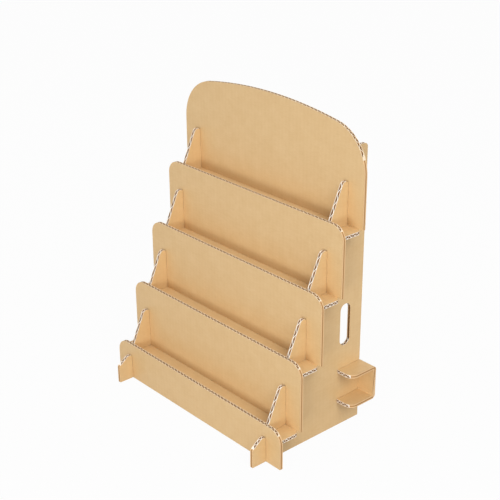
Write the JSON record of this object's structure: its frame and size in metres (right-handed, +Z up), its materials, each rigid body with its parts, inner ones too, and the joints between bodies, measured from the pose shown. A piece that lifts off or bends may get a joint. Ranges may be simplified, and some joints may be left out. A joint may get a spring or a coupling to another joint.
{
  "type": "cardboard display stand",
  "caption": "Tiered countertop stand of slotted corrugated board, with stepped pockets for postcards or leaflets, a rounded back panel and a folded rear brace.",
  "frame": {"origin": "on the floor, under the middle of the stand's overall box", "axes": "+Z up, -Y towards the person who takes a card, X across the stand"},
  "size_m": [0.183, 0.104, 0.2276],
  "materials": {
    "kraft_board": "matt brown kraft liners on a fluted core, with pale cut edges"
  },
  "bodies": {
    "root": {"left_side_panel": "kraft_board", "right_side_panel": "kraft_board", "front_panel": "kraft_board", "second_panel": "kraft_board", "third_panel": "kraft_board", "fourth_panel": "kraft_board", "back_panel": "kraft_board", "first_shelf": "kraft_board", "second_shelf": "kraft_board", "third_shelf": "kraft_board", "fourth_shelf": "kraft_board", "rear_brace": "kraft_board"}
  },
  "joints": []
}
